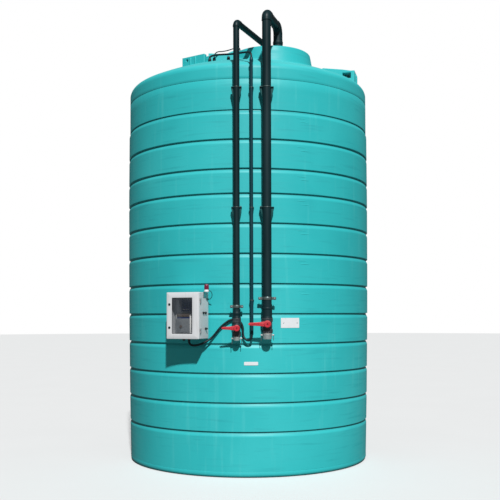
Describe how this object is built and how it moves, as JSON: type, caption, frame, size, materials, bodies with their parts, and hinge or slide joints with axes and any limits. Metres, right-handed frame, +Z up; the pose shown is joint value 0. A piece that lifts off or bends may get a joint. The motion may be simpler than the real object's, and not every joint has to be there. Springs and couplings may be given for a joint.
{
  "type": "storage tank",
  "caption": "Upright ringed plastic storage tank with a domed roof, a fill line, a draw-off line with capped couplings, and a windowed control box.",
  "frame": {"origin": "centre of the tank's flat underside", "axes": "+Z up along the tank axis, -Y towards the side that carries the pipes and the control box, +X to the right seen from there"},
  "size_m": [2.7898, 2.9599, 4.777],
  "materials": {
    "tank_polyethylene": "moulded, faintly uneven, soft sheen",
    "pipe_polyethylene": "extruded, faded blue-black",
    "clip_plastic": "moulded black",
    "valve_plastic": "moulded dark grey",
    "handle_plastic": "glossy red",
    "cast_aluminium": "cast and dulled",
    "zinc_steel": "zinc plated",
    "box_grey": "light grey moulded resin",
    "window_glass": "clear tinted pane",
    "display_blue": "dark blue screen",
    "device_grey": "moulded grey housing",
    "lens_red": "translucent red",
    "plate_white": "plain white",
    "cable_rubber": "black sheath"
  },
  "bodies": {
    "tank": {"tank_wall": "tank_polyethylene", "tank_floor": "tank_polyethylene", "tank_roof": "tank_polyethylene", "roof_turret": "tank_polyethylene", "lifting_lug_left": "tank_polyethylene", "lifting_lug_right": "tank_polyethylene", "lifting_lug_rear": "tank_polyethylene", "fill_riser": "pipe_polyethylene", "fill_crossover": "pipe_polyethylene", "fill_inlet_collar": "pipe_polyethylene", "draw_riser": "pipe_polyethylene", "draw_crossover": "pipe_polyethylene", "draw_inlet_collar": "pipe_polyethylene", "cable_conduit": "pipe_polyethylene", "fill_clip_upper": "clip_plastic", "draw_clip_upper": "clip_plastic", "conduit_clip_upper": "clip_plastic", "fill_clip_middle": "clip_plastic", "draw_clip_middle": "clip_plastic", "conduit_clip_middle": "clip_plastic", "conduit_clip_lower": "clip_plastic", "roof_gland": "clip_plastic", "level_gland": "clip_plastic", "spare_gland": "clip_plastic", "platform_gland": "clip_plastic", "fill_valve": "valve_plastic", "draw_valve": "valve_plastic", "fill_adaptor": "cast_aluminium", "draw_adaptor": "cast_aluminium", "fill_cap": "cast_aluminium", "draw_cap": "cast_aluminium", "fill_clamp": "zinc_steel", "draw_clamp": "zinc_steel", "beacon_bracket": "zinc_steel", "enclosure_body": "box_grey", "display_module": "display_blue", "control_unit": "device_grey", "beacon_lens": "lens_red", "beacon_base": "plate_white", "name_plate": "plate_white", "lower_plate": "plate_white", "control_cable": "cable_rubber", "roof_cable": "cable_rubber", "level_cable": "cable_rubber", "beacon_cable": "cable_rubber"},
    "enclosure_door": {"enclosure_door": "box_grey", "door_window": "window_glass"},
    "door_lock_upper": {"door_lock_upper": "clip_plastic"},
    "door_lock_lower": {"door_lock_lower": "clip_plastic"},
    "fill_valve_handle": {"fill_valve_handle": "handle_plastic"},
    "draw_valve_handle": {"draw_valve_handle": "handle_plastic"},
    "fill_cam_arm_left": {"fill_cam_arm_left": "zinc_steel"},
    "fill_cam_arm_right": {"fill_cam_arm_right": "zinc_steel"},
    "draw_cam_arm_left": {"draw_cam_arm_left": "zinc_steel"},
    "draw_cam_arm_right": {"draw_cam_arm_right": "zinc_steel"}
  },
  "joints": [
    {"name": "door_hinge", "type": "hinge", "parent": "tank", "child": "enclosure_door", "pos_m": [-0.47363, -1.53462, 1.641], "axis": [0, 0, 1], "range_deg": [0, 110]},
    {"name": "upper_lock_turn", "type": "hinge", "parent": "enclosure_door", "child": "door_lock_upper", "pos_m": [-0.79595, -1.41772, 1.753], "axis": [-0.4067, -0.9135, 0], "range_deg": [0, 90]},
    {"name": "lower_lock_turn", "type": "hinge", "parent": "enclosure_door", "child": "door_lock_lower", "pos_m": [-0.79595, -1.41772, 1.52], "axis": [-0.4067, -0.9135, 0], "range_deg": [0, 90]},
    {"name": "fill_valve_turn", "type": "hinge", "parent": "tank", "child": "fill_valve_handle", "pos_m": [0.1895, -1.551, 1.555], "axis": [0, 1, 0], "range_deg": [0, 90]},
    {"name": "draw_valve_turn", "type": "hinge", "parent": "tank", "child": "draw_valve_handle", "pos_m": [-0.1165, -1.551, 1.515], "axis": [0, 1, 0], "range_deg": [0, 90]},
    {"name": "fill_cam_left", "type": "hinge", "parent": "tank", "child": "fill_cam_arm_left", "pos_m": [0.1275, -1.465, 1.445], "axis": [0, 1, 0], "range_deg": [0, 110]},
    {"name": "fill_cam_right", "type": "hinge", "parent": "tank", "child": "fill_cam_arm_right", "pos_m": [0.2515, -1.465, 1.445], "axis": [0, -1, 0], "range_deg": [0, 110]},
    {"name": "draw_cam_left", "type": "hinge", "parent": "tank", "child": "draw_cam_arm_left", "pos_m": [-0.1645, -1.465, 1.412], "axis": [0, 1, 0], "range_deg": [0, 110]},
    {"name": "draw_cam_right", "type": "hinge", "parent": "tank", "child": "draw_cam_arm_right", "pos_m": [-0.0685, -1.465, 1.412], "axis": [0, -1, 0], "range_deg": [0, 110]}
  ]
}
